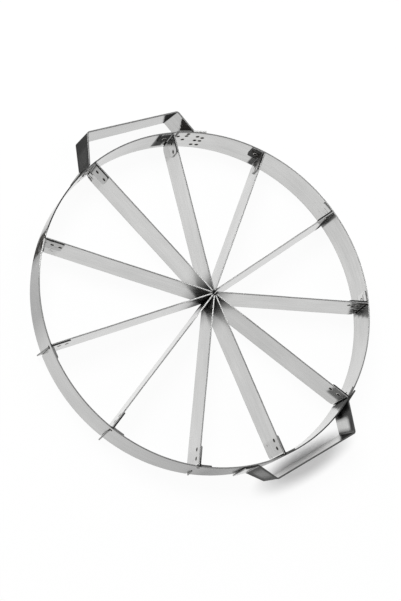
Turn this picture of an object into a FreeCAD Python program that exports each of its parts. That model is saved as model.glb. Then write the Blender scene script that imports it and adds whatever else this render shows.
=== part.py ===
import FreeCAD, Part
import math
import os

# Cake portion marker in thin stainless sheet, in millimetres, lying flat.
# The band's axis is Z, its lower edge is at Z = 0, and the origin is the band's centre.

# Band: one strip rolled into a hoop, its outer end lapped over its inner end.
band_diameter = 280.0
band_height = 28.5
band_thickness = 1.0
lap_setback = 2.0        # from the middle of blade 01 to the start of the joggle
joggle_length = 2.5
lap_end_gap = 0.5        # between the joggle and the strip's inner end
lap_length = 12.0

# Blades: flat strips on edge, from a small open eye in the middle out to the band.
blade_count = 11
blade_thickness = 1.0
first_blade_angle = 95.5
blade_drift = [1.1, 0.1, 0.8, -0.7, -3.3, -2.3, 0.2, 2.3, 2.8, -0.4, -0.6]    # hand-set spacing, degrees
blade_lean = {"blade_03": 2.7, "blade_04": 1.4}    # how far the high edge hangs over to the bracket's side
hub_x = 3.6
hub_y = 1.6
eye_radius = 1.2
blade_corner_round = 5.0

# Tongues: three blades also reach through open slits in the band.
tongue_low = 2.5
tongue_high = {"blade_07": 12.0, "blade_08": 21.0, "blade_09": 21.0}
tongue_reach = {"blade_07": 1.8, "blade_08": 4.6, "blade_09": 4.6}    # at the tongue's low end
tongue_reach_high = 0.6
slit_clearance = 0.2

# Brackets: a small angle spot-welded to each blade and to the band's inner face.
bracket_thickness = 1.0
bracket_height = 14.5
bracket_blade_leg = 16.0
bracket_band_leg = 10.5
bracket_bend = 0.8
bracket_corner_round = 2.0

# Handles: two strips bent into a hat, each standing on two feet on the band's outer face.
handle_thickness = 1.2
handle_bend = 1.6
handle_foot_length = 11.5
handle_foot_span = 97.0      # straight across, between the bottoms of the two legs
handle_foot_lift = 1.0       # how far a foot opens away from the band, degrees
rear_handle_past_lap = 1.4   # from the end of the lap to the bottom of the nearer leg
front_handle_angle = 300.0
# Each grip was bent by eye. For its low and its high edge: the gap for the fingers, from the band to the
# grip's middle, the degrees that the grip is out of square, and how far it has slid along itself.
rear_grip = {"length": 81.0, "low": (17.2, -3.2, 1.0), "high": (14.6, -4.3, 2.1)}
front_grip = {"length": 79.0, "low": (8.6, -4.6, -0.2), "high": (11.8, -4.8, 2.1)}

weld_gap = 0.05              # film between sheets that are welded together
cut_past = 1.0               # how far a cutting shape runs past the metal

band_outer = band_diameter / 2
band_inner = band_outer - band_thickness
handle_seat = band_outer + weld_gap
handle_half_spread = math.degrees(math.asin(handle_foot_span / 2 / handle_seat))
hub = FreeCAD.Vector(hub_x, hub_y, 0)
up = FreeCAD.Vector(0, 0, 1)


def polar(radius, degrees, z=0.0):
    angle = math.radians(degrees)
    return FreeCAD.Vector(radius * math.cos(angle), radius * math.sin(angle), z)


def turn_of(length, radius):
    """The angle in degrees that an arc of this length covers."""
    return math.degrees(length / radius)


def sector(radius_in, radius_out, start, end, height):
    """A curved plate between two radii and two angles, standing on Z = 0."""
    edges = [
        Part.makeCircle(radius_out, FreeCAD.Vector(), up, start, end),
        Part.makeLine(polar(radius_out, end), polar(radius_in, end)),
        Part.makeCircle(radius_in, FreeCAD.Vector(), up, start, end),
        Part.makeLine(polar(radius_in, start), polar(radius_out, start)),
    ]
    return Part.Face(Part.Wire(Part.__sortEdges__(edges))).extrude(up * height)


def blade_name(index):
    return f"blade_{index + 1:02d}"


def blade_angle(index):
    """Where a blade meets the band, the blades counted clockwise from above."""
    return first_blade_angle - index * 360.0 / blade_count + blade_drift[index % len(blade_drift)]


def blade_heading(index):
    """The direction of a blade in degrees, from the hub to the band."""
    line = polar(band_inner, blade_angle(index)) - hub
    return math.degrees(math.atan2(line.y, line.x))


def place(shape, index):
    """Moves a shape from a blade's own frame, X along the blade from the hub, to its place."""
    shape.rotate(FreeCAD.Vector(), up, blade_heading(index))
    shape.translate(hub)
    return shape


def lean_over(shape, index):
    """Leans a placed shape about its blade's middle line."""
    angle = math.degrees(math.asin(blade_lean.get(blade_name(index), 0.0) / band_height))
    shape.rotate(hub + up * (band_height / 2), polar(1, blade_heading(index)), -angle)
    return shape


def run_to(radius, index, side):
    """Distance along a blade from the hub to a circle about the origin, side off the blade's middle."""
    heading = math.radians(blade_heading(index))
    centre_x = -hub_x * math.cos(heading) - hub_y * math.sin(heading)
    centre_y = hub_x * math.sin(heading) - hub_y * math.cos(heading)
    return centre_x + math.sqrt(radius ** 2 - (side - centre_y) ** 2)


def upright_prism(outline, width):
    """Extrudes an outline of (x, z) points by width, centred on the XZ plane."""
    points = [FreeCAD.Vector(x, -width / 2, z) for x, z in outline]
    return Part.Face(Part.makePolygon(points + points[:1])).extrude(FreeCAD.Vector(0, width, 0))


def tongue(index, clearance):
    """The tab of a blade that goes through the band, or with a clearance the slit for it."""
    root = run_to(band_inner, index, 0) - blade_corner_round
    face = run_to(band_outer, index, 0)
    top = tongue_high[blade_name(index)] + clearance
    reach = tongue_reach[blade_name(index)]
    if clearance:
        outline = [(root, -cut_past), (face + cut_past, -cut_past), (face + cut_past, top), (root, top)]
    else:
        outline = [(root, tongue_low), (face + reach, tongue_low), (face + tongue_reach_high, top), (root, top)]
    return place(upright_prism(outline, blade_thickness + 2 * clearance), index)


joggle_start = blade_angle(0) - turn_of(lap_setback, band_inner)
joggle_end = joggle_start - turn_of(joggle_length, band_inner)
inner_end = joggle_end - turn_of(lap_end_gap, band_inner)
outer_end = joggle_end - turn_of(lap_length, band_outer)
rear_handle_angle = outer_end - turn_of(rear_handle_past_lap, band_outer) + handle_half_spread


def lapped_band():
    """The hoop: a full turn, a short joggle outwards, then the lap over the strip's inner end."""
    lap_under = band_outer + weld_gap
    lap_over = lap_under + band_thickness
    edges = [
        Part.makeCircle(band_outer, FreeCAD.Vector(), up, joggle_start, inner_end + 360),
        Part.makeLine(polar(band_outer, inner_end), polar(band_inner, inner_end)),
        Part.makeCircle(band_inner, FreeCAD.Vector(), up, joggle_start, inner_end + 360),
        Part.makeLine(polar(band_inner, joggle_start), polar(lap_under, joggle_end)),
        Part.makeCircle(lap_under, FreeCAD.Vector(), up, outer_end, joggle_end),
        Part.makeLine(polar(lap_under, outer_end), polar(lap_over, outer_end)),
        Part.makeCircle(lap_over, FreeCAD.Vector(), up, outer_end, joggle_end),
        Part.makeLine(polar(lap_over, joggle_end), polar(band_outer, joggle_start)),
    ]
    hoop = Part.Face(Part.Wire(Part.__sortEdges__(edges))).extrude(up * band_height)
    slits = [tongue(index, slit_clearance) for index in range(blade_count)
             if blade_name(index) in tongue_high]
    return hoop.cut(slits)


def blade(index):
    """A strip on edge: mitred against its neighbours at the hub, its low outer corner rounded."""
    heading = blade_heading(index)
    half = blade_thickness / 2
    past_band = run_to(band_outer, index, 0) + cut_past
    wedge = []
    for step, side in ((1, -1), (-1, 1)):
        neighbour = blade_heading((index + step) % blade_count)
        apart = ((neighbour - heading) * side) % 360 / 2
        edge = [hub + polar(length, heading + side * apart) for length in (eye_radius, band_diameter)]
        wedge.extend(edge if side < 0 else edge[::-1])
    room = Part.Face(Part.makePolygon(wedge + wedge[:1])).extrude(up * band_height)
    strip = Part.makeBox(past_band, blade_thickness, band_height + 2 * cut_past,
                         FreeCAD.Vector(0, -half, -cut_past))
    strip = lean_over(place(strip, index), index).common(room)
    strip = strip.common(Part.makeCylinder(band_inner - weld_gap, band_height))
    end = run_to(band_inner, index, 0)
    start = end - blade_corner_round
    side = -half - cut_past
    corner = Part.makeBox(blade_corner_round + cut_past, -2 * side, blade_corner_round,
                          FreeCAD.Vector(start, side, 0))
    rounding = Part.makeCylinder(blade_corner_round, -2 * side,
                                 FreeCAD.Vector(start, side, blade_corner_round),
                                 FreeCAD.Vector(0, 1, 0))
    strip = strip.cut(lean_over(place(corner.cut(rounding), index), index))
    if blade_name(index) in tongue_high:
        strip = strip.fuse(tongue(index, 0)).removeSplitter()
    return strip


def edges_near(shape, spots, tolerance=0.2):
    """The edges of a shape whose middles lie within the tolerance of one of the spots."""
    found = []
    for edge in shape.Edges:
        middle = edge.valueAt((edge.FirstParameter + edge.LastParameter) / 2)
        if any(middle.distanceToPoint(spot) < tolerance for spot in spots):
            found.append(edge)
    return found


def bracket(index):
    """An angle: one leg flat on the blade's side, the other curved against the band.

    It leans with its blade, and is drawn back until the leaning leg clears the band."""
    seat = blade_thickness / 2 + weld_gap
    back = seat + bracket_thickness
    outside = band_inner - weld_gap
    inside = outside - bracket_thickness
    start = run_to(band_inner, index, 0) - bracket_blade_leg
    leg = Part.makeBox(2 * bracket_blade_leg, bracket_thickness, bracket_height,
                       FreeCAD.Vector(start, seat, 0))
    leg = place(leg, index).common(Part.makeCylinder(outside, bracket_height))

    def spot(radius, side, z):
        marker = Part.Vertex(run_to(radius, index, side), side, z)
        return place(marker, index).Point

    bend = spot(outside, seat, 0)
    bend_angle = math.degrees(math.atan2(bend.y, bend.x))
    near = bend_angle + turn_of(bracket_thickness / 2, outside)
    far = bend_angle + turn_of(bracket_band_leg, outside)
    angle = leg.fuse(sector(inside, outside, near, far, bracket_height)).removeSplitter()
    middle = bracket_height / 2
    angle = angle.makeFillet(bracket_bend, edges_near(angle, [spot(inside, back, middle)]))
    angle = angle.makeFillet(bracket_bend + bracket_thickness,
                             edges_near(angle, [spot(outside, seat, middle)]))
    free_end = place(Part.Vertex(start, seat + bracket_thickness / 2, 0), index).Point
    corners = [free_end, polar((inside + outside) / 2, far)]
    angle = angle.makeFillet(bracket_corner_round, edges_near(angle, corners))
    angle.translate(up * (band_height - bracket_height))
    overhang = blade_lean.get(blade_name(index), 0.0) / 2
    slack = (bracket_band_leg + back) * overhang / band_inner
    angle.translate(polar(-slack, blade_heading(index)))
    return lean_over(angle, index)


def rounded_path(points, radii):
    """Edges through the points, with a tangent arc of the given radius at each inner point."""
    edges = []
    start = points[0]
    for before, corner, after, radius in zip(points, points[1:], points[2:], radii):
        into = (corner - before).normalize()
        out = (after - corner).normalize()
        turn = into.getAngle(out)
        cut = radius * math.tan(turn / 2)
        tangent_in = corner - into * cut
        tangent_out = corner + out * cut
        bisector = (out - into).normalize()
        middle = corner + bisector * (radius / math.cos(turn / 2) - radius)
        edges.append(Part.makeLine(start, tangent_in))
        edges.append(Part.Arc(tangent_in, middle, tangent_out).toShape())
        start = tangent_out
    edges.append(Part.makeLine(start, points[-1]))
    return edges


def offset_points(points, distance):
    """The points of a flat open path moved sideways, to its left, with mitred corners."""
    moved = []
    for number, point in enumerate(points):
        headings = []
        if number > 0:
            headings.append((point - points[number - 1]).normalize())
        if number < len(points) - 1:
            headings.append((points[number + 1] - point).normalize())
        normals = [FreeCAD.Vector(-heading.y, heading.x, 0) for heading in headings]
        mitre = (normals[0] + normals[-1]).normalize()
        moved.append(point + mitre * (distance / mitre.dot(normals[0])))
    return moved


def handle_outline(middle_angle, length, edge, z):
    """A handle's section at one height: foot, leg, grip, leg, foot, with bent corners."""
    gap, turn, slide = edge
    along = polar(1, middle_angle - 90 + turn)
    grip_middle = polar(band_outer + gap, middle_angle, z) + along * slide
    path = []
    for side in (-1, 1):
        leg_angle = middle_angle - side * handle_half_spread
        bottom = polar(handle_seat, leg_angle, z)
        foot = polar(handle_foot_length, leg_angle - side * (90 - handle_foot_lift))
        end = [bottom + foot, bottom, grip_middle + along * (side * length / 2)]
        path.extend(end if side < 0 else end[::-1])
    over = offset_points(path, handle_thickness)
    tight, wide = handle_bend, handle_bend + handle_thickness
    under_edges = rounded_path(path, [wide, tight, tight, wide])
    over_edges = rounded_path(over, [tight, wide, wide, tight])
    caps = [Part.makeLine(path[0], over[0]), Part.makeLine(path[-1], over[-1])]
    return Part.Wire(Part.__sortEdges__(under_edges + over_edges + caps))


def handle(middle_angle, grip):
    """A bent strip as high as the band, ruled between its low and its high edge."""
    low = handle_outline(middle_angle, grip["length"], grip["low"], 0)
    high = handle_outline(middle_angle, grip["length"], grip["high"], band_height)
    return Part.makeLoft([low, high], True, True)


nodes = {"ring_band": lapped_band()}
for index in range(blade_count):
    nodes[blade_name(index)] = blade(index)
    nodes[f"blade_bracket_{index + 1:02d}"] = bracket(index)
nodes["handle_rear"] = handle(rear_handle_angle, rear_grip)
nodes["handle_front"] = handle(front_handle_angle, front_grip)

os.makedirs("parts", exist_ok=True)
for name, shape in nodes.items():
    print(name, shape.isValid(), len(shape.Solids), round(shape.Volume, 1))
    shape.exportStep(f"parts/{name}.step")
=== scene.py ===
import math
import bpy
import numpy as np
from mathutils import Matrix, Vector


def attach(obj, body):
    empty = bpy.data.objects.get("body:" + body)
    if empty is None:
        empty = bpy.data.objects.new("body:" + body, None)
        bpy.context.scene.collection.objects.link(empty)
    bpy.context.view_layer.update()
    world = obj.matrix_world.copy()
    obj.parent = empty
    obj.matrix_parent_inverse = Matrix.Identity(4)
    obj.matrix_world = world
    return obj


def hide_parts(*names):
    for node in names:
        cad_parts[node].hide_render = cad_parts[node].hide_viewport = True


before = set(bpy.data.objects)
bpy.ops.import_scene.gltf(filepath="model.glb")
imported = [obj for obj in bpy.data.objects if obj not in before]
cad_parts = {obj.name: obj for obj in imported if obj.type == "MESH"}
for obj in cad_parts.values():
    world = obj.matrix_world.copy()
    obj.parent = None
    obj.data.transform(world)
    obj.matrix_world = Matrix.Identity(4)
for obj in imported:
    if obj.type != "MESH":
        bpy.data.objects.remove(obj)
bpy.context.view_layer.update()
print("frame loaded:", len(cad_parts), "nodes")

# Lengths are in metres and angles in degrees. The band's axis is Z and its centre is the origin.
mm = 0.001
weldGap = 0.05 * mm  # film between sheets that are welded together


class Wire:
    # One output socket of a shader node. Arithmetic on it adds Math nodes.
    def __init__(self, maker, socket):
        self.maker = maker
        self.socket = socket

    def maths(self, operation, *values):
        return self.maker.node("Math", {"operation": operation}, dict(enumerate(values)))

    def __add__(self, other):
        return self.maths("ADD", self, other)

    def __radd__(self, other):
        return self.maths("ADD", other, self)

    def __sub__(self, other):
        return self.maths("SUBTRACT", self, other)

    def __rsub__(self, other):
        return self.maths("SUBTRACT", other, self)

    def __mul__(self, other):
        return self.maths("MULTIPLY", self, other)

    def __rmul__(self, other):
        return self.maths("MULTIPLY", other, self)

    def __pow__(self, other):
        return self.maths("POWER", self, other)

    def rise(self, low, high):
        # 0 below low, 1 above high, smooth between
        return self.maker.node("MapRange", {"interpolation_type": "SMOOTHSTEP"},
                               {"Value": self, "From Min": low, "From Max": high})


class Maker:
    # Makes the nodes of one material or world.
    def __init__(self, tree):
        self.tree = tree
        self.tree.nodes.clear()

    def node(self, kind, settings=None, inputs=None, output=0):
        made = self.tree.nodes.new("ShaderNode" + kind)
        for name, value in (settings or {}).items():
            setattr(made, name, value)
        for key, value in (inputs or {}).items():
            if isinstance(value, Wire):
                self.tree.links.new(value.socket, made.inputs[key])
            else:
                made.inputs[key].default_value = value
        return Wire(self, made.outputs[output]) if made.outputs else made

    def colour(self, factor, first, second):
        return self.node("Mix", {"data_type": "RGBA"}, {0: factor, 6: first, 7: second}, 2)

    def noise(self, vector, scale, detail, rough):
        # scale is per metre for each axis
        stretched = self.node("VectorMath", {"operation": "MULTIPLY"}, {0: vector, 1: scale})
        return self.node("TexNoise", {"noise_dimensions": "3D"},
                         {"Vector": stretched, "Scale": 1.0, "Detail": detail, "Roughness": rough})

    def attribute(self, name):
        return self.node("Attribute", {"attribute_name": name}, None, 2)

    def finish(self, kind, shader):
        self.node(kind, None, {"Surface": shader})


def newMaterial(name):
    material = bpy.data.materials.new(name)
    material.use_nodes = True
    return material, Maker(material.node_tree)


# Satin rolled strip. Every sheet carries a UV map "strip" (distance along it, height) and three
# attributes: tone, how bright the metal is, painted reflection, highlight and shade included; a blotch
# share, how much of it is blotched, painted shade at the hub included; edge, 1 on cut edges.
steel = {
    "bright": (0.80, 0.80, 0.792, 1.0),
    "black": (0.004, 0.004, 0.004, 1.0),
    # colour of the blotches, real soil and painted shade at the hub alike
    "sootAndShade": (0.030, 0.027, 0.024, 1.0),
    "level": 0.735,
    "dullTone": 0.55,                  # darker than this the sheet loses its metal and turns dull, so that painted shade stays dark
    "roughness": 0.20, "edgeRoughness": 0.50, "blotchRoughness": 0.15, "roughSway": 0.10,
    # scale along the strip and up it, detail, roughness
    "lines": ((16.0, 760.0, 1.0), 3.0, 0.65),      # rolled lines
    "hairs": ((70.0, 2600.0, 1.0), 2.0, 0.6),      # fine scratches
    "clouds": ((30.0, 46.0, 1.0), 3.0, 0.55),
    "blotches": ((150.0, 330.0, 1.0), 4.0, 0.62),
    "dents": ((26.0, 34.0, 1.0), 1.0, 0.4),
    "shares": (0.34, 0.30, 0.26),       # of lines, hairs and clouds in the brightness
    "shift": (0.37, 0.11, 0.53),        # how far the pattern of each next sheet lies
    "blotchEdge": (-0.12, 0.02), "blotchStart": 0.15, "blotchCover": 0.9,
    "bump": {"Strength": 0.30, "Distance": 0.5 * mm}, "bumpLines": 0.04, "bumpHairs": 0.02,
}


def sheetMaterial(name, level, seed):
    material, maker = newMaterial(name)
    uv = maker.node("UVMap", {"uv_map": "strip"})
    shift = tuple(seed * step for step in steel["shift"])
    place = maker.node("VectorMath", {"operation": "ADD"}, {0: uv, 1: shift})
    lines, hairs, clouds, blotches, dents = [
        maker.noise(place, *steel[kind]) for kind in ("lines", "hairs", "clouds", "blotches", "dents")]
    tone, soilAndShade, edge = [maker.attribute(kind) for kind in ("tone", "soilAndShade", "edge")]
    shares, sway = steel["shares"], steel["roughSway"]
    uneven = (lines - 0.5) * shares[0] + (hairs - 0.5) * shares[1] + (clouds - 0.5) * shares[2]
    shade = tone * (uneven * (1 - edge) + 1.0) * level
    soiledAndShaded = (blotches + soilAndShade - 1.0).rise(*steel["blotchEdge"]) \
        * soilAndShade.rise(0.0, steel["blotchStart"]) * (1 - edge)
    clean = maker.colour(shade, steel["black"], steel["bright"])
    colour = maker.colour(soiledAndShaded * steel["blotchCover"], clean, steel["sootAndShade"])
    rough = steel["roughness"] + (lines - 0.5) * sway + (hairs - 0.5) * sway \
        + edge * (steel["edgeRoughness"] - steel["roughness"]) + soiledAndShaded * steel["blotchRoughness"]
    relief = dents + lines * steel["bumpLines"] + hairs * steel["bumpHairs"]
    bump = maker.node("Bump", None, {**steel["bump"], "Height": relief * (1 - edge)})
    # dark tone, painted shade among it, and blotches make the sheet dull and less metal, so that the painted
    # dark stays dark
    metal = tone.rise(0.0, steel["dullTone"]) * (1 - soiledAndShaded * steel["blotchCover"])
    shader = maker.node("BsdfPrincipled", None, {
        "Base Color": colour, "Roughness": rough, "Metallic": metal, "Specular IOR Level": 0.0,
        "Normal": bump})
    maker.finish("OutputMaterial", shader)
    return material


# Pit of a spot weld, painted near black for the dark that the dimple reflects, inside a brighter pressed ring
pitLook = {
    "ringStart": (0.70, 0.84),    # share of the mark's radius
    "ring": (0.52, 0.51, 0.49, 1.0), "ringRoughness": 0.32, "ringMetal": 0.95,
    "pit": (0.004, 0.004, 0.004, 1.0), "pitRoughness": 0.6, "specular": 0.1,
}


def weldMaterial():
    material, maker = newMaterial("weldDarkPit")
    uv = maker.node("UVMap", {"uv_map": "strip"})
    ring = maker.node("SeparateXYZ", None, {0: uv}).rise(*pitLook["ringStart"])
    rough = pitLook["pitRoughness"] + ring * (pitLook["ringRoughness"] - pitLook["pitRoughness"])
    # the pit painted near black for the dark the dimple reflects
    shader = maker.node("BsdfPrincipled", None, {
        "Base Color": maker.colour(ring, pitLook["pit"], pitLook["ring"]), "Roughness": rough,
        "Metallic": ring * pitLook["ringMetal"], "Specular IOR Level": pitLook["specular"]})
    maker.finish("OutputMaterial", shader)
    return material


def unit(vectors):
    return vectors / np.linalg.norm(vectors, axis=-1, keepdims=True)


def leftOf(vectors):
    return np.stack([-vectors[..., 1], vectors[..., 0]], axis=-1)


def polar(radius, degrees):
    angle = np.radians(degrees)
    return np.stack([radius * np.cos(angle), radius * np.sin(angle)], axis=-1)


def turned(vectors, angle):
    cos, sin = np.cos(angle), np.sin(angle)
    x, y = vectors[..., 0], vectors[..., 1]
    return np.stack([x * cos - y * sin, x * sin + y * cos], axis=-1)


def turnOf(length, radius):
    return math.degrees(length / radius)


def soft(value, low, high):
    # 0 below low, 1 above high, smooth between
    t = np.clip((value - low) / (high - low), 0, 1)
    return t * t * (3 - 2 * t)


def patch(s, z, span, rise, blur):
    # 1 inside a range of distances and heights, fading over blur
    along = soft(s, span[0] - blur, span[0] + blur) * (1 - soft(s, span[1] - blur, span[1] + blur))
    up = soft(z, rise[0] - blur, rise[0] + blur) * (1 - soft(z, rise[1] - blur, rise[1] + blur))
    return along * up


def bentPath(corners, radius, steps=7):
    # Straight runs joined by tangent arcs. An arc starts radius * tan(turn / 2) before its corner,
    # and its spoke turns by the corner's angle round a centre that lies square to the run.
    parts = [corners[:1]]
    for before, corner, after in zip(corners, corners[1:], corners[2:]):
        into, out = unit(corner - before), unit(after - corner)
        turn = math.atan2(into[0] * out[1] - into[1] * out[0], into @ out)
        start = corner - into * radius * math.tan(abs(turn) / 2)
        centre = start + leftOf(into) * math.copysign(radius, turn)
        parts.append(centre + turned(start - centre, np.linspace(0, turn, steps)))
    parts.append(corners[-1:])
    return np.concatenate(parts)


def sideways(corners, distance):
    # The corners of an open path moved to its left, mitred
    runs = unit(np.diff(corners, axis=0))
    first = leftOf(np.concatenate([runs[:1], runs]))
    last = leftOf(np.concatenate([runs, runs[-1:]]))
    mitre = unit(first + last)
    return corners + mitre * (distance / np.sum(mitre * first, axis=1, keepdims=True))


def distances(path):
    return np.concatenate([[0.0], np.cumsum(np.linalg.norm(np.diff(path, axis=0), axis=1))])


def alongPath(path, marks):
    along = distances(path)
    return np.stack([np.interp(marks, along, path[:, i]) for i in (0, 1)], axis=1)


def insetEnds(marks, reach):
    # How far a section draws in near a path's two ends, so that the cut ends have a small bevel
    return np.clip(reach - np.minimum(marks, marks[-1] - marks), 0, reach)


def roundedEnd(away, radius):
    # How far a corner of this radius has cut in at a distance from the sheet's end
    inside = np.clip(radius - away, 0, radius)
    return radius - np.sqrt(radius ** 2 - inside ** 2)


# What all sheets share
section = {
    "round": 0.2 * mm, "cornerSteps": 3, "faceRows": 11,
    "edgeRow": 0.012,                  # the first and last row on a face, as a share of its height
    "bevel": 0.25 * mm,
    "closest": 2e-4 * mm,              # sections nearer to each other than this are one
    "stepHalf": 1e-3 * mm,             # half of a sudden change between two sections
    # soft waves: how fast along the sheet and up it, weight
    "waves": [(61, 0, 1.0), (137, 90, 0.6), (251, -140, 0.4), (0, 75, 0.5)],
    "waveStart": (16 * mm, 34 * mm),   # from the sheet's ends
    "sharp": 50,
}


def marksAlong(path, spacing, extra):
    # Where the cross-sections stand: the path's own points, even steps, and the extra places
    along = distances(path)
    even = np.linspace(0, along[-1], max(2, int(along[-1] / spacing) + 1))
    marks = np.union1d(np.union1d(along, even), np.asarray(extra, float))
    marks = marks[(marks >= 0) & (marks <= along[-1])]
    return marks[np.concatenate([[True], np.diff(marks) > section["closest"]])]


def sectionRing(thickness):
    # A rounded rectangle, anticlockwise: across the sheet, share of its height, offset in height,
    # and 1 where it is the cut edge
    r, half = section["round"], thickness / 2
    turns = np.linspace(0, math.pi / 2, section["cornerSteps"] + 1)
    rows = np.linspace(0, 1, section["faceRows"] + 2)[1:-1]
    rows = np.concatenate([[section["edgeRow"]], rows, [1 - section["edgeRow"]]])
    low = [half - r + r * np.sin(turns), 0 * turns, r - r * np.cos(turns), 1 + 0 * turns]
    face = [half + 0 * rows, rows, r * (1 - 2 * rows), 0 * rows]
    high = [half - r + r * np.cos(turns), 1 + 0 * turns, -r + r * np.sin(turns), 1 + 0 * turns]
    ring = [np.concatenate(parts) for parts in zip(low, face, high)]
    mirrored = [-ring[0][::-1], ring[1][::-1], ring[2][::-1], ring[3][::-1]]
    return [np.concatenate(both) for both in zip(ring, mirrored)]


def meshPiece(name, points, faces, places, values, sharpAngle):
    mesh = bpy.data.meshes.new(name)
    mesh.from_pydata(points, [], faces)
    corner = np.empty(len(mesh.loops), dtype=np.int32)
    mesh.loops.foreach_get("vertex_index", corner)
    layer = mesh.uv_layers.new(name="strip")
    layer.data.foreach_set("uv", places[corner].astype(np.float32).ravel())
    for key, value in values.items():
        mesh.attributes.new(key, "FLOAT", "POINT").data.foreach_set("value", value.ravel())
    mesh.shade_smooth()
    mesh.set_sharp_from_angle(angle=math.radians(sharpAngle))
    piece = bpy.data.objects.new(name, mesh)
    bpy.context.collection.objects.link(piece)
    return piece


def stripSurface(name, lowPath, highPath, marks, thickness, low, high, width, wave, seed, finish):
    # A rounded rectangle carried along a path: point = mark on the path + sideways * across + up * height.
    # The path at any height is ruled between the low and the high path, and soft waves push the sheet
    # sideways by a sum of sines of the distance along it and the height. finish gives tone, blotch share and
    # the tone of cut edges, painted reflection, highlight and shade among them, from distance, height and
    # side, 1 on the left face and -1 on the right one.
    share = np.interp(marks, distances(highPath), np.linspace(0, 1, len(highPath)))
    lowPoints = np.stack([np.interp(share, np.linspace(0, 1, len(lowPath)), lowPath[:, i])
                          for i in (0, 1)], axis=1)
    highPoints = alongPath(highPath, marks)
    across, level, offset, cut = sectionRing(thickness)
    z = low[:, None] * (1 - level) + high[:, None] * level + offset
    s, edge = marks[:, None] + 0 * z, cut + 0 * z
    ratio = (z / band["height"])[..., None]
    middle = lowPoints[:, None] * (1 - ratio) + highPoints[:, None] * ratio
    tangent = unit(np.gradient(highPoints, axis=0))
    starts = np.random.default_rng(seed).uniform(0, 2 * math.pi, len(section["waves"]))
    sway = sum(weight * np.sin(s * along + z * up + start)
               for (along, up, weight), start in zip(section["waves"], starts))
    sway = sway * soft(np.minimum(marks, marks[-1] - marks), *section["waveStart"])[:, None]
    push = across * width[:, None] + wave * sway
    plan = middle + leftOf(tangent)[:, None] * push[..., None]
    points = np.concatenate([plan, z[..., None]], axis=-1)
    count, ring = z.shape
    row = np.arange(count - 1)[:, None] * ring
    column = np.arange(ring)[None]
    after = (column + 1) % ring
    quads = np.stack([row + column, row + after, row + ring + after, row + ring + column], axis=-1)
    faces = quads.reshape(-1, 4).tolist()
    faces.append(list(range(ring))[::-1])
    faces.append(list(range((count - 1) * ring, count * ring)))
    tone, soilAndShade, rim = finish(s, z, np.where(across > 0, 1.0, -1.0) + 0 * z)
    values = {"tone": tone * (1 - edge) + rim * edge, "soilAndShade": soilAndShade * (1 - edge), "edge": edge}
    places = np.stack([s, z], axis=-1).reshape(-1, 2)
    return meshPiece(name, points.reshape(-1, 3), faces, places, values, section["sharp"])


def dress(piece, material, node):
    piece.data.materials.append(material)
    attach(piece, "root")
    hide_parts(node)


band = {
    "outer": 140.0 * mm, "height": 28.5 * mm, "thickness": 1.0 * mm,
    "lapSetback": 2.0 * mm, "joggle": 2.5 * mm, "lapEndGap": 0.5 * mm, "lap": 12.0 * mm,
    "slitHalf": 0.7 * mm, "slitPast": 0.2 * mm,
    "spacing": 3 * mm, "hoopSteps": 360, "lapSteps": 8,
    # painted reflection and shade, painted highlights on the cut edges: brightness by angle of the outer
    # face, the inner face and the cut edges
    "outsideTone": [(148, 0.95), (157, 0.30), (161, 0.10), (164, 0.2), (169, 0.42), (186, 0.50), (195, 0.84),
                    (225, 0.84), (240, 0.70), (256, 0.50), (264, 0.34), (290, 0.34), (300, 0.9)],
    "insideTone": [(97, 1.0), (104, 0.86), (127, 0.86), (134, 1.0)],
    "rimTone": [(0, 0.75), (50, 0.7), (66, 0.42), (100, 0.3), (130, 0.2), (137, 0.05), (157, 0.05),
                (160, 0.75), (170, 0.75), (175, 0.34), (285, 0.34), (292, 0.10), (318, 0.07), (323, 0.12),
                (329, 0.3), (345, 0.5), (360, 0.75)],
    # blotches outside, where the hoop was hammered round: angle, and how far to its fading sides
    "hammered": 161, "hammeredFade": (3.5, 5.5), "hammeredSoil": 0.5,
    # painted reflections and shade of blades on the inner face: blade, 1 if anticlockwise of it, reach at the
    # high and the low edge, brightness
    "darkStretch": [(1, 1, 8.5 * mm, 5 * mm, 0.20), (2, -1, 3.4 * mm, 3.4 * mm, 0.30),
             (3, -1, 12 * mm, 2 * mm, 0.36), (4, -1, 13 * mm, 3 * mm, 0.16)],
    "reflectionStart": 0.3 * mm, "reflectionBlur": 0.5 * mm,
    # painted shade and reflection past the lap: angles past blade 01 and height where it starts and ends,
    # darkening
    "lapShadeStart": (1.0, 1.4), "lapShadeEnd": (5.0, 5.6), "lapShadeLow": (3 * mm, 5 * mm), "lapShadeDark": 0.85,
    # painted shade: dark spots on the high edge where blades join it
    "joins": range(4, 11), "joinHalf": 0.6, "joinTone": 0.03,
}
band["inner"] = band["outer"] - band["thickness"]

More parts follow.
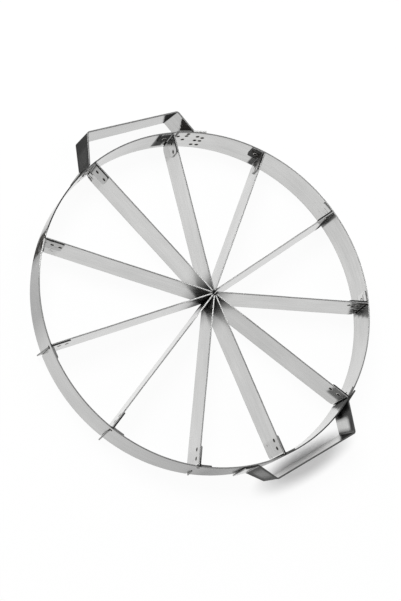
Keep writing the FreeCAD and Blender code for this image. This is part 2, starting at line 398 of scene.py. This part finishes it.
blades = {
    "count": 11, "thickness": 1.0 * mm, "first": 95.5,
    "drift": [1.1, 0.1, 0.8, -0.7, -3.3, -2.3, 0.2, 2.3, 2.8, -0.4, -0.6],
    "lean": {2: 2.7 * mm, 3: 1.4 * mm},    # how far the high edge hangs over to the left
    "leanClear": 0.7,                      # share of the lean by which such a blade starts later
    "hub": np.array([3.6, 1.6]) * mm, "eye": 1.2 * mm, "cornerRound": 5.0 * mm,
    "tongueHigh": {6: 12.0 * mm, 7: 21.0 * mm, 8: 21.0 * mm},
    "tongueReach": {6: 1.8 * mm, 7: 4.6 * mm, 8: 4.6 * mm}, "tongueShort": 0.05 * mm,
    "tongueLow": 2.5 * mm, "reachHigh": 0.6 * mm, "tipHeight": 0.5 * mm,
    "spacing": 5 * mm, "cornerSteps": 8, "wave": 0.05 * mm,
    # closer sections from the hub and from the band end
    "hubRows": np.arange(2, 40, 2) * mm, "endRows": np.arange(0.4, 18, 0.8) * mm,
    # brightness of each blade, a painted reflection; painted shade at the hub, where the blades meet and
    # reflect each other, and how far that is full and reaches in mm
    "bright": [1.0, 0.95, 0.88, 0.95, 0.87, 0.97, 0.97, 1.08, 0.89, 0.94, 1.0],
    "sootAndShade": [0.70, 0.22, 0.3, 0.5, 0.60, 0.90, 0.88, 0.94, 0.79, 0.83, 0.73],
    "shadeNear": [3, 3, 3, 3, 3, 5, 4, 5, 8, 3, 3],
    "shadeFar": [22, 14, 14, 20, 21, 29, 25, 27, 30, 22, 26],
    # blotches in the painted shade at the hub, and the faces round the eye painted black as shade
    "hubShadeBlotch": 0.1, "hubBlack": (0.4 * mm, 1.6 * mm),
    # cut edges: painted highlight at the hub and painted shade far from it, and how far they are painted
    # black, as shade in the eye, from the hub in mm
    "hubRim": [0.42, 0.55, 0.75, 0.55, 1.0, 1.0, 0.95, 1.0, 1.0, 1.0, 1.05],
    "farRim": [0.42, 0.6, 0.6, 0.42, 0.42, 0.42, 0.42, 0.42, 0.42, 0.42, 0.42],
    "rimBlack": [2.0, 2.0, 4.5, 2.0, 2.0, 2.0, 2.0, 2.0, 2.0, 2.0, 2.0],
    "rimBlackFade": 1.4 * mm, "rimFade": (20 * mm, 40 * mm), "rimLeast": 0.02,
    # darker, blotched stretch at the band end: brightness, blotches and reach in mm, how much shorter it is
    # at the low edge, and where it starts in height
    "endTone": [0.8, 0.9, 0.10, 0.45, 0.30, 0.85, 0.95, 1.0, 0.95, 0.9, 0.9],
    "endBlotch": [0.25, 0.25, 0.25, 0.46, 0.25, 0.25, 0.25, 0.25, 0.25, 0.25, 0.25],
    "endReach": [14.5, 14.5, 8.5, 15.5, 14.5, 14.5, 14.5, 14.5, 14.5, 14.5, 14.5],
    "endBlur": 1.5 * mm, "endSlant": {3: 10.5 * mm}, "endLow": {4: (12 * mm, 15 * mm)},
    "darkened": {10: (5 * mm, 8 * mm)}, "burntSoil": 0.16,
    # the join with the band is painted black as shade in the gap, beside a painted highlight line, and what
    # stands out of the band is plain
    "joinReach": 1.1 * mm, "joinTone": 0.03, "shineReach": 2.0 * mm, "shineTone": 1.3, "tongueTone": 0.8,
}


def bladeAngle(index):
    return blades["first"] - index * 360 / blades["count"] + blades["drift"][index % blades["count"]]


def bladeAim(index):
    return unit(polar(band["inner"], bladeAngle(index)) - blades["hub"])


def runTo(radius, index, side):
    # Distance along a blade from the hub to a circle about the origin, measured side off its middle
    aim = bladeAim(index)
    centre = -blades["hub"]
    return centre @ aim + math.sqrt(radius ** 2 - (side - centre @ leftOf(aim)) ** 2)


def bandPiece(material):
    start = bladeAngle(0) - turnOf(band["lapSetback"], band["inner"])
    end = start - turnOf(band["joggle"], band["inner"])
    middle = band["outer"] - band["thickness"] / 2
    lapMiddle = middle + weldGap + band["thickness"]
    lapStart = end - turnOf(band["lap"], band["outer"])
    innerEnd = end - turnOf(band["lapEndGap"], band["inner"]) + 360
    path = np.concatenate([polar(lapMiddle, np.linspace(lapStart, end, band["lapSteps"])),
                           polar(middle, np.linspace(start, innerEnd, band["hoopSteps"]))])
    opening = distances(path)[band["lapSteps"]]
    slits = {}
    for index, top in blades["tongueHigh"].items():
        turn = (bladeAngle(index) - start) % 360
        slits[opening + math.radians(turn) * middle] = top + band["slitPast"]
    edges = [slit + side * (band["slitHalf"] + way * section["stepHalf"])
             for slit in slits for side in (-1, 1) for way in (-1, 1)]
    bevel = section["bevel"]
    marks = marksAlong(path, band["spacing"], edges + [bevel, distances(path)[-1] - bevel])
    inset = insetEnds(marks, bevel)
    low, high = inset.copy(), band["height"] - inset
    for slit, top in slits.items():
        low = np.where(abs(marks - slit) < band["slitHalf"], top, low)

    def finish(s, z, side):
        # painted reflection and shade by angle, blotches where it was hammered, then painted reflections and
        # shade of some blades on the inside
        turn = (start + np.degrees((s - opening) / middle)) % 360
        outsideTone, insideTone, rim = [np.interp(turn, *np.array(band[kind]).T)
                                        for kind in ("outsideTone", "insideTone", "rimTone")]
        tone = np.where(side < 0, outsideTone, insideTone)
        hammered = 1 - soft(abs(turn - band["hammered"]), *band["hammeredFade"])
        soilAndShade = np.where(side < 0, hammered * band["hammeredSoil"], 0)
        for index, way, highReach, lowReach, level in band["darkStretch"]:
            past = np.radians((turn - bladeAngle(index) + 180) % 360 - 180) * middle * way
            reach = lowReach + (highReach - lowReach) * z / band["height"]
            here = soft(past, 0, band["reflectionStart"]) * (side > 0) \
                * (1 - soft(past, reach - band["reflectionBlur"], reach + band["reflectionBlur"]))
            tone = tone * (1 - here * (1 - level))
        # painted shade and reflection on the inner face past the lap
        past = turn - bladeAngle(0)
        here = soft(past, *band["lapShadeStart"]) * (1 - soft(past, *band["lapShadeEnd"])) \
            * soft(z, *band["lapShadeLow"]) * (side > 0)
        tone = tone * (1 - band["lapShadeDark"] * here)
        # painted shade on the high edge where blades join
        for index in band["joins"]:
            join = abs(turn - bladeAngle(index) % 360) < band["joinHalf"]
            rim = np.where(join, band["joinTone"], rim)
        return tone, soilAndShade, rim

    piece = stripSurface("band_sheet", path, path, marks, band["thickness"], low, high,
                         1 - inset / band["thickness"], 0.0, 1, finish)
    dress(piece, material, "ring_band")


def bladePiece(index, material):
    aim = bladeAim(index)
    half = blades["thickness"] / 2
    aims = [bladeAim((index + step) % blades["count"]) for step in (1, -1)]
    apart = min(math.acos(float(np.clip(aim @ other, -1, 1))) for other in aims) / 2
    begin = blades["eye"] * math.cos(apart)
    full = half / math.tan(apart)
    end = runTo(band["inner"] - weldGap, index, 0)
    face = runTo(band["outer"], index, 0)
    tongue = index in blades["tongueHigh"]
    tip = face + blades["tongueReach"][index] - blades["tongueShort"] if tongue else end
    lean = blades["lean"].get(index, 0.0)
    clear = begin + lean * blades["leanClear"]
    path = blades["hub"] + np.stack([aim * clear, aim * tip])
    over = leftOf(aim) * lean / 2
    corner, bevel, step = blades["cornerRound"], section["bevel"], section["stepHalf"]
    curve = corner * (1 - np.sin(np.linspace(0, math.pi / 2, blades["cornerSteps"])))
    extra = [full - clear, end - clear - step, end - clear + step, face + blades["reachHigh"] - clear,
             *(end - clear - curve), *blades["hubRows"], *(end - clear - blades["endRows"])]
    if not tongue:
        extra.append(tip - clear - bevel)
    marks = marksAlong(path, blades["spacing"], extra)
    place = marks + clear
    low = np.where(place <= end, roundedEnd(end - place, corner), 0.0)
    high = np.full(len(marks), band["height"])
    width = np.interp(place, [begin, full], [math.sin(apart) * blades["eye"] / half, 1.0])
    if tongue:
        low = np.where(place > end, blades["tongueLow"], np.minimum(low, blades["tongueLow"]))
        slope = np.interp(place, [face + blades["reachHigh"], face + blades["tongueReach"][index]],
                          [blades["tongueHigh"][index], blades["tongueLow"] + blades["tipHeight"]])
        high = np.where(place > end, slope, high)
    else:
        inset = np.clip(bevel - (marks[-1] - marks), 0, bevel)
        low, high, width = low + inset, high - inset, width * (1 - inset / blades["thickness"])

    def finish(s, z, side):
        # painted shade at the hub where the blades meet, and a darker, blotched stretch at the band end
        away = s + clear
        left = end - away
        # painted shade at the hub, where the blades meet and reflect each other
        sootAndShade = 1 - soft(away, blades["shadeNear"][index] * mm, blades["shadeFar"][index] * mm)
        reach = blades["endReach"][index] * mm \
            - blades["endSlant"].get(index, 0.0) * (1 - z / band["height"])
        darkStretch = 1 - soft(left, reach - blades["endBlur"], reach + blades["endBlur"])
        if index in blades["endLow"]:
            darkStretch = darkStretch * soft(z, *blades["endLow"][index])
        tone = (1 - blades["sootAndShade"][index] * sootAndShade) * (1 - darkStretch * (1 - blades["endTone"][index]))
        # a painted highlight beside the join, and the join painted black as shade in the gap
        tone = np.where((side < 0) & (left < blades["shineReach"]), blades["shineTone"], tone)
        tone = np.where(left < blades["joinReach"], blades["joinTone"], tone)
        # what stands out of the band is plain, and the faces round the eye are painted black as shade
        tone = np.where(away > face, blades["tongueTone"], tone) * soft(s, *blades["hubBlack"])
        # blotches on the stretch at the band end and in the painted shade at the hub
        soilAndShade = blades["endBlotch"][index] * darkStretch + blades["hubShadeBlotch"] * sootAndShade
        if index in blades["darkened"]:
            soilAndShade = soilAndShade + blades["burntSoil"] * (1 - soft(left, *blades["darkened"][index]))
        # cut edges: painted highlight near the hub, painted shade far out and in the eye
        white, far, black = blades["hubRim"][index], blades["farRim"][index], blades["rimBlack"][index] * mm
        rim = (white - (white - far) * soft(away, *blades["rimFade"])) \
            * soft(away, black, black + blades["rimBlackFade"]) + blades["rimLeast"]
        # each blade's own brightness is a painted reflection
        return tone * blades["bright"][index], soilAndShade, rim

    name = f"blade_{index + 1:02d}"
    piece = stripSurface(name + "_sheet", path - over, path + over, marks, blades["thickness"], low, high,
                         width, blades["wave"], 10 + index, finish)
    dress(piece, material, name)


brackets = {
    "thickness": 1.0 * mm, "height": 14.5 * mm, "bladeLeg": 16.0 * mm, "bandLeg": 10.5 * mm,
    "bend": 0.8 * mm, "cornerRound": 2.0 * mm, "bevel": 0.2 * mm, "leanRoom": 1.55 * mm,
    "spacing": 2 * mm, "cornerSteps": 6, "bandSteps": 8,
    "level": 0.97,                          # brightness beside the other sheets
    # brightness of the blade leg and the band leg, a painted reflection and shade, and blotches, blade 01
    # first
    "bladeTone": [0.90, 0.90, 0.62, 0.74, 0.62, 0.74, 0.78, 0.90, 0.95, 0.66, 0.72],
    "bandTone": [0.10, 0.14, 1.05, 1.2, 1.1, 0.9, 0.9, 0.9, 0.9, 0.8, 0.8],
    "soilAndShade": [0.25, 0.42, 0.30, 0.36, 0.12, 0.10, 0.10, 0.1, 0.20, 0.34, 0.30],
    "darkened": {1: 10 * mm, 10: 1.5 * mm},    # how far the blade leg is black from its bend
    "legDarkening": 0.8, "blur": 1 * mm,
    # cut edges, painted shade and highlight: brightness far out on the blade leg and on the band leg
    "rimBlade": [0.03, 0.03, 0.03, 0.03, 0.03, 0.24, 0.24, 0.03, 0.03, 0.03, 0.03],
    "rimBand": [0.30, 0.30, 0.30, 0.30, 0.30, 0.12, 0.12, 0.30, 0.30, 0.30, 0.30],
    "rimFade": (3 * mm, 13 * mm), "rimLeast": 0.02,
}


def bracketPath(index):
    # Beside the blade, round the bend, then along the band's inner face
    aim = bladeAim(index)
    half = brackets["thickness"] / 2
    seat = blades["thickness"] / 2 + weldGap
    radius = band["inner"] - weldGap - half
    run = runTo(radius, index, seat + half)
    start = runTo(band["inner"], index, 0) - brackets["bladeLeg"]
    base = blades["hub"] + leftOf(aim) * (seat + half)
    corner = base + aim * run
    angle = math.degrees(math.atan2(corner[1], corner[0]))
    far = angle + turnOf(brackets["bandLeg"] - half, radius)
    first = turnOf(brackets["bend"] + 3 * half, radius)
    arc = polar(radius, np.linspace(angle + first, far, brackets["bandSteps"]))
    corners = np.stack([base + aim * start, corner, arc[0]])
    return np.concatenate([bentPath(corners, brackets["bend"] + half)[:-1], arc])


def bracketPiece(index, material):
    path = bracketPath(index)
    total = distances(path)[-1]
    corner = brackets["cornerRound"]
    curve = corner * (1 - np.cos(np.linspace(0, math.pi / 2, brackets["cornerSteps"])))
    marks = marksAlong(path, brackets["spacing"], np.concatenate([curve, total - curve]))
    cut = roundedEnd(np.minimum(marks, total - marks), corner)
    bevel = insetEnds(marks, brackets["bevel"])
    bend = brackets["bladeLeg"] - brackets["thickness"]
    # it leans with its blade, drawn back until the leaning leg clears the band
    aim = bladeAim(index)
    lean = blades["lean"].get(index, 0.0)
    over = leftOf(aim) * lean / 2
    back = aim * (brackets["bandLeg"] + brackets["leanRoom"]) * lean / 2 / band["inner"]
    drop = (alongPath(path, marks) - blades["hub"]) @ leftOf(aim) * lean / band["height"]
    low = band["height"] - brackets["height"] + cut - drop
    high = band["height"] - cut - drop

    def finish(s, z, side):
        # each leg has its own brightness, a painted reflection and shade, and some are darker beside the bend
        blur = brackets["blur"]
        onBand = soft(s, bend - blur, bend + blur)
        # painted reflection and shade on each leg
        tone = brackets["bladeTone"][index] * (1 - onBand) + brackets["bandTone"][index] * onBand
        if index in brackets["darkened"]:
            darkened = bend - brackets["darkened"][index]
            tone = tone * (1 - brackets["legDarkening"] * soft(s, darkened - blur, darkened + blur) * (1 - onBand))
        # painted shade and highlight on the cut edges
        onBlade = brackets["rimBlade"][index] * (1 - soft(s, *brackets["rimFade"])) + brackets["rimLeast"]
        rim = np.where(onBand > 0.5, brackets["rimBand"][index], onBlade)
        return tone, brackets["soilAndShade"][index] + 0 * s, rim

    name = f"blade_bracket_{index + 1:02d}"
    piece = stripSurface(name + "_sheet", path - over - back, path + over - back, marks,
                         brackets["thickness"], low, high, 1 - bevel / brackets["thickness"], 0.0,
                         40 + index, finish)
    dress(piece, material, name)


handles = {
    "thickness": 1.2 * mm, "bend": 1.6 * mm, "foot": 11.5 * mm, "spacing": 2 * mm,
    "footSpan": 97.0 * mm, "footLift": 1.0, "pastLap": 1.4 * mm, "frontAngle": 300.0,
    "plainTone": 0.85, "blur": 0.8 * mm,
    # low and high: a grip edge's gap to the band, degrees out of square, slide along itself.
    # which face is painted after each bend, 1 for the outer one, -1 for the inner one.
    # patches of painted reflection, highlight and shade, in mm: from bend and to bend, counted from the foot
    # at the left end as seen from the middle, shifts of the two ends, how far the start lies back at the high
    # edge, low and high side, brightness, blotches. softer: the blur of some patches by their place in the
    # list. The cut edges of the feet and of the rest carry painted shade and highlight.
    "rear": {"length": 81.0 * mm, "low": (17.2 * mm, -3.2, 1.0 * mm), "high": (14.6 * mm, -4.3, 2.1 * mm),
             "footRim": (0.08, 1.3), "rim": 0.34, "shadedFace": {1: 1, 2: -1, 3: -1}, "softer": {},
             "patches": [
                 (1, 2, 0, 0, 0, -5, 40, 0.06, 0.0),
                 (1, 2, 3, -11, 0, 4, 24, 0.085, 0.0),
                 (2, 3, 0, 0, 0, -5, 40, 0.78, 0.0),
                 (2, 3, 80, 0, 11, -5, 40, 0.07, 0.3),
                 (3, 4, 0, 0, 0, -5, 40, 0.85, 0.12),
                 (3, 4, 13.5, 0, 3, -5, 40, 0.30, 0.50),
                 (3, 4, 16, 0, 10, -5, 40, 0.34, 0.62),
             ]},
    "front": {"length": 79.0 * mm, "low": (8.6 * mm, -4.6, -0.2 * mm), "high": (11.8 * mm, -4.8, 2.1 * mm),
              "footRim": (0.05, 0.05), "rim": 0.12, "shadedFace": {1: -1, 2: -1, 3: 1},
              "softer": {1: 1.6 * mm, 3: 2.6 * mm, 8: 3.0 * mm},
              "patches": [
                  (1, 2, 0, 0, 0, -5, 40, 0.17, 0.1),
                  (1, 2, 0, -9, 0, 5, 14, 0.01, 0.0),
                  (1, 2, 0, -19, 0, -5, 40, 0.03, 0.0),
                  (1, 2, 12.5, -3, 0, -5, 22, 0.95, 0.2),
                  (1, 2, 15, -2, 0, 24, 26, 0.04, 0.0),
                  (2, 3, 0, 0, 0, -5, 40, 0.04, 0.3),
                  (2, 3, 0, 0, -16, -5, 40, 1.2, 0.0),
                  (3, 4, 0, 0, 0, -5, 40, 0.15, 0.0),
                  (3, 4, 5, -4, 0, 8, 27, 0.30, 0.0),
              ]},
}


def footTurn():
    # Angle from a handle's middle to the start of its feet
    return math.degrees(math.asin(handles["footSpan"] / 2 / (band["outer"] + weldGap)))


def handleCorners(angle, length, edge):
    gap, turn, slide = edge
    seat = band["outer"] + weldGap
    along = polar(1, angle - 90 + turn)
    middle = polar(band["outer"] + gap, angle) + along * slide
    left, right = [], []
    for side, half in ((-1, left), (1, right)):
        legAngle = angle - side * footTurn()
        bottom = polar(seat, legAngle)
        foot = polar(handles["foot"], legAngle - side * (90 - handles["footLift"]))
        half.extend([bottom + foot, bottom, middle + along * side * length / 2])
    return np.array(left + right[::-1])


def handlePiece(name, angle, form, material):
    half = handles["thickness"] / 2
    radius = handles["bend"] + half
    lowPath = bentPath(sideways(handleCorners(angle, form["length"], form["low"]), half), radius)
    corners = sideways(handleCorners(angle, form["length"], form["high"]), half)
    highPath = bentPath(corners, radius)
    along = distances(highPath)
    total = along[-1]
    bends = [along[np.argmin(np.linalg.norm(highPath - corner, axis=1))] for corner in corners]
    bevel = section["bevel"]
    marks = marksAlong(highPath, handles["spacing"], [bevel, total - bevel])
    inset = insetEnds(marks, bevel)

    def finish(s, z, side):
        # each stretch between two bends has its own painted reflection, highlight and shade, on one face
        tone, soilAndShade = handles["plainTone"] + 0 * s, 0 * s
        for number, shadePatch in enumerate(form["patches"]):
            start, end, startShift, endShift, slant, low, high, level, spots = shadePatch
            first = bends[start] + (startShift - slant * z / band["height"]) * mm
            here = patch(s - first, z, (0, bends[end] + endShift * mm - first), (low * mm, high * mm),
                         form["softer"].get(number, handles["blur"])) * (side == form["shadedFace"][start])
            tone = tone * (1 - here) + level * here
            soilAndShade = soilAndShade * (1 - here) + spots * here
        # painted shade and highlight on the cut edges of the feet and of the rest
        rim = np.where(s < handles["foot"], form["footRim"][0], form["rim"])
        rim = np.where(total - s < handles["foot"], form["footRim"][1], rim)
        return tone, soilAndShade, rim

    piece = stripSurface(name + "_sheet", lowPath, highPath, marks, handles["thickness"], inset,
                         band["height"] - inset, 1 - inset / handles["thickness"], 0.0, 60, finish)
    dress(piece, material, name)


lapAngle = bladeAngle(0) - turnOf(band["lapSetback"] + band["joggle"], band["inner"]) \
    - turnOf(band["lap"], band["outer"])
rearAngle = lapAngle - turnOf(handles["pastLap"], band["outer"]) + footTurn()

# the last value shifts the pattern, so that no two sheets look the same
bandPiece(sheetMaterial("bandSteel", steel["level"], 1))
for index in range(blades["count"]):
    bladePiece(index, sheetMaterial(f"bladeSteel{index + 1:02d}", steel["level"], 3 + index))
bracketSteel = sheetMaterial("bracketSteel", steel["level"] * brackets["level"], 30)
for index in range(blades["count"]):
    bracketPiece(index, bracketSteel)
handleSteel = sheetMaterial("handleSteel", steel["level"], 31)
handlePiece("handle_rear", rearAngle, handles["rear"], handleSteel)
handlePiece("handle_front", handles["frontAngle"], handles["front"], handleSteel)
print("sheets done")


welds = {
    "radii": np.array([0.0, 0.8, 1.4, 1.6, 1.8, 2.0]) * mm,
    "proud": np.array([0.03, 0.04, 0.06, 0.12, 0.08, -0.02]) * mm,
    "sunk": 0.2 * mm, "sides": 20, "sharp": 60,
    "onBlade": [6.6 * mm, 13.9 * mm], "bladeHeight": 21.8 * mm, "spread": 0.7 * mm,
    "onBandLeg": 5.4 * mm, "bandLegHeight": 20.0 * mm, "bandLegSpread": 0.4,
    # angle and height in mm of the marks that hold the lap and the rear handle's foot
    "lap": [(94.0, 21.2), (91.5, 14.8), (91.0, 22.0), (90.9, 26.0), (93.0, 7.0)],
    "foot": [(87.0, 21.8), (87.0, 14.3), (87.2, 6.1), (85.1, 20.3), (85.2, 14.3), (85.2, 6.5)],
    # the marks of the feet at the handles' other ends
    "footHeights": [7.0 * mm, 15.0 * mm, 22.0 * mm], "alongFoot": 0.55, "footSpread": 0.5,
    # marks on the hoop's outer face, by blade
    "outside": {6: 25.0 * mm, 7: 24.2 * mm, 8: 23.4 * mm, 9: 26.0 * mm}, "outsideTurn": 0.2,
}


def weldMarks(name, spots, material):
    # Each mark is a disc turned about its own axis: point = centre + (cos * along + sin * up) * radius
    # + outward * proud(radius), closed behind by a ring sunk into the sheet
    spots = np.array(spots)
    centre, outward = spots[:, None, None, :3], unit(spots[:, 3:])[:, None, None]
    upward = np.array([0.0, 0.0, 1.0])
    along = np.cross(np.broadcast_to(upward, outward.shape), outward)
    radii = np.concatenate([welds["radii"][1:], welds["radii"][-1:]])
    proud = np.concatenate([welds["proud"][1:], [-welds["sunk"]]])
    sides = welds["sides"]
    angle = np.linspace(0, 2 * math.pi, sides, endpoint=False)
    ring = np.cos(angle)[:, None] * along + np.sin(angle)[:, None] * upward
    rings = centre + radii[:, None, None] * ring + proud[:, None, None] * outward
    middle = centre + welds["proud"][0] * outward
    back = centre - welds["sunk"] * outward
    points = np.concatenate([middle[:, 0], rings.reshape(len(spots), -1, 3), back[:, 0]], axis=1)
    count = points.shape[1]
    step = np.arange(sides)
    after = (step + 1) % sides
    caps = [(0, 1 + i, 1 + j) for i, j in zip(step, after)]
    walls = [(1 + k * sides + i, 1 + (k + 1) * sides + i, 1 + (k + 1) * sides + j, 1 + k * sides + j)
             for k in range(len(radii) - 1) for i, j in zip(step, after)]
    last = 1 + (len(radii) - 1) * sides
    backs = [(last + i, count - 1, last + j) for i, j in zip(step, after)]
    faces = [tuple(int(v) + n * count for v in face) for n in range(len(spots))
             for face in caps + walls + backs]
    radius = np.concatenate([[0.0], np.repeat(radii, sides), [radii[-1]]]) / radii[-1]
    places = np.tile(np.stack([radius, 0 * radius], axis=-1), (len(spots), 1))
    piece = meshPiece(name, points.reshape(-1, 3), faces, places, {}, welds["sharp"])
    piece.data.materials.append(material)
    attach(piece, "root")


def bladeSpots(index, offset, chance):
    # On the face of a blade or of its bracket, offset sideways from the blade's middle
    aim = bladeAim(index)
    spots = []
    for distance in welds["onBlade"]:
        along = runTo(band["inner"], index, 0) - distance + chance.uniform(-1, 1) * welds["spread"]
        height = welds["bladeHeight"] + chance.uniform(-1, 1) * welds["spread"]
        leaning = blades["lean"].get(index, 0.0) * (height / band["height"] - 0.5)
        base = blades["hub"] + aim * along + leftOf(aim) * (offset + leaning)
        spots.append([*base, height, *(leftOf(aim) * math.copysign(1, offset)), 0.0])
    return spots


def hoopSpot(angle, height, radius, outward):
    # On a face of the hoop or of a plate that lies against it
    return [*polar(radius, angle), height, *(polar(1, angle) * outward), 0.0]


def allWelds(material):
    chance = np.random.default_rng(7)
    onBrackets, onBlades, onBand = [], [], []
    leg = blades["thickness"] / 2 + weldGap + brackets["thickness"]
    for index in range(blades["count"]):
        onBrackets += bladeSpots(index, leg, chance)
        onBlades += bladeSpots(index, -blades["thickness"] / 2, chance)
        angle = bladeAngle(index) + turnOf(welds["onBandLeg"], band["inner"]) \
            + chance.uniform(-1, 1) * welds["bandLegSpread"]
        height = welds["bandLegHeight"] + chance.uniform(-1, 1) * welds["spread"]
        onBrackets.append(hoopSpot(angle, height, band["inner"] - weldGap - brackets["thickness"], -1))
    for index, height in welds["outside"].items():
        onBand.append(hoopSpot(bladeAngle(index) + welds["outsideTurn"], height, band["outer"], 1))
    for angle, height in welds["lap"]:
        onBand.append(hoopSpot(angle, height * mm, band["inner"], -1))
        onBand.append(hoopSpot(angle, height * mm, band["outer"] + weldGap + band["thickness"], 1))
    for angle, height in welds["foot"]:
        onBand.append(hoopSpot(angle, height * mm, band["inner"], -1))
    onFoot = footTurn() + turnOf(handles["foot"] * welds["alongFoot"], band["outer"])
    for middle in (rearAngle, handles["frontAngle"]):
        for height in welds["footHeights"]:
            angle = middle + onFoot + chance.uniform(-1, 1) * welds["footSpread"]
            onBand.append(hoopSpot(angle, height, band["inner"], -1))
    weldMarks("weld_marks_brackets", onBrackets, material)
    weldMarks("weld_marks_blades", onBlades, material)
    weldMarks("weld_marks_band", onBand, material)


allWelds(weldMaterial())
print("weld marks done")


floor = {
    "size": 6.0,
    "colour": (0.86, 0.86, 0.86, 1), "white": (1, 1, 1, 1),
    "matt": 0.05,        # share of plain matt floor, which keeps the shadow
    "mattNear": 0.9,     # the same in an oval under the front handle
    "place": (0.0768, -0.1330, 0.0), "turn": 25.4,    # middle of the oval and direction of its length
    "reach": (0.052, 0.0145), "fade": (0.35, 1.15),
}


def floorPiece():
    # Pale floor: mostly plain white, partly matt so that it keeps the shadow
    side = floor["size"] / 2
    mesh = bpy.data.meshes.new("floor")
    corners = [(-side, -side, 0), (side, -side, 0), (side, side, 0), (-side, side, 0)]
    mesh.from_pydata(corners, [], [(0, 1, 2, 3)])
    piece = bpy.data.objects.new("floor", mesh)
    bpy.context.collection.objects.link(piece)
    material, maker = newMaterial("paleFloor")
    path = maker.node("LightPath")
    outputs = path.socket.node.outputs
    seen = path + Wire(maker, outputs["Is Glossy Ray"]) + Wire(maker, outputs["Is Transmission Ray"])
    place = maker.node("TexCoord", None, None, 3)
    offset = maker.node("VectorMath", {"operation": "SUBTRACT"}, {0: place, 1: floor["place"]})
    squares = 0
    for turn, reach in zip((floor["turn"], floor["turn"] + 90), floor["reach"]):
        axis = (*(polar(1, turn) / reach), 0.0)
        part = maker.node("VectorMath", {"operation": "DOT_PRODUCT"}, {0: offset, 1: axis}, 1)
        squares = part * part + squares
    near = 1 - (squares ** 0.5).rise(*floor["fade"])
    matt = near * (floor["mattNear"] - floor["matt"]) + floor["matt"]
    plain = maker.node("BsdfDiffuse", None, {"Color": floor["colour"]})
    white = maker.node("Emission", None, {"Color": floor["white"], "Strength": 1.0})
    shader = maker.node("MixShader", None, {0: seen.rise(0, 1) * (1 - matt), 1: plain, 2: white})
    maker.finish("OutputMaterial", shader)
    mesh.materials.append(material)


lights = {
    "key": {"place": (-0.55, 0.75, 1.25), "size": 0.8, "power": 20.0},
    "fill": {"place": (0.9, -0.2, 1.1), "size": 1.2, "power": 6.0},
    "glint": {"place": (0.445, 0.338, 1.09), "size": 0.16, "power": 0.5},
}


def areaLight(name, form):
    # A round lamp that faces the band's centre
    light = bpy.data.lights.new(name, "AREA")
    light.shape = "DISK"
    light.size = form["size"]
    light.energy = form["power"]
    lamp = bpy.data.objects.new(name, light)
    lamp.location = form["place"]
    lamp.rotation_euler = (-Vector(form["place"])).to_track_quat("-Z", "Y").to_euler()
    bpy.context.collection.objects.link(lamp)


sky = {"colour": (1, 1, 1, 1), "horizon": 1.0, "zenith": 0.12, "rise": (0.25, 0.8)}


def studioWorld():
    # White walls all round, darker overhead
    world = bpy.data.worlds.new("studio")
    world.use_nodes = True
    maker = Maker(world.node_tree)
    aim = maker.node("TexCoord", None, None, 0)
    height = maker.node("SeparateXYZ", None, {0: aim}, 2)
    strength = sky["horizon"] + (sky["zenith"] - sky["horizon"]) * height.rise(*sky["rise"])
    shader = maker.node("Background", None, {"Color": sky["colour"], "Strength": strength})
    maker.finish("OutputWorld", shader)
    bpy.context.scene.world = world


view = {
    "place": (-0.41879, -0.32113, 1.05111), "aim": (-0.00931, -0.00501, 0.0285), "roll": -6.489,
    "focal": 1448.49, "longSide": 601, "sensor": 36.0,    # focal length and long side in pixels
    "near": 0.05, "far": 20,
}


def photoCamera():
    # Looks down at a slant, turned a little about its own axis from the row's +Y
    eye = bpy.data.cameras.new("camera")
    eye.sensor_width = view["sensor"]
    eye.lens = view["focal"] * view["sensor"] / view["longSide"]
    eye.clip_start, eye.clip_end = view["near"], view["far"]
    camera = bpy.data.objects.new("camera", eye)
    forward = (Vector(view["aim"]) - Vector(view["place"])).normalized()
    right = forward.cross(Vector((0, 1, 0))).normalized()
    up = right.cross(forward)
    turn = Matrix((right, up, -forward)).transposed() @ Matrix.Rotation(math.radians(view["roll"]), 3, "Z")
    camera.matrix_world = Matrix.Translation(view["place"]) @ turn.to_4x4()
    bpy.context.collection.objects.link(camera)
    bpy.context.scene.camera = camera


floorPiece()
for name, form in lights.items():
    areaLight(name, form)
studioWorld()
photoCamera()
bpy.context.scene.view_settings.view_transform = "Standard"
print("floor, light and camera done")
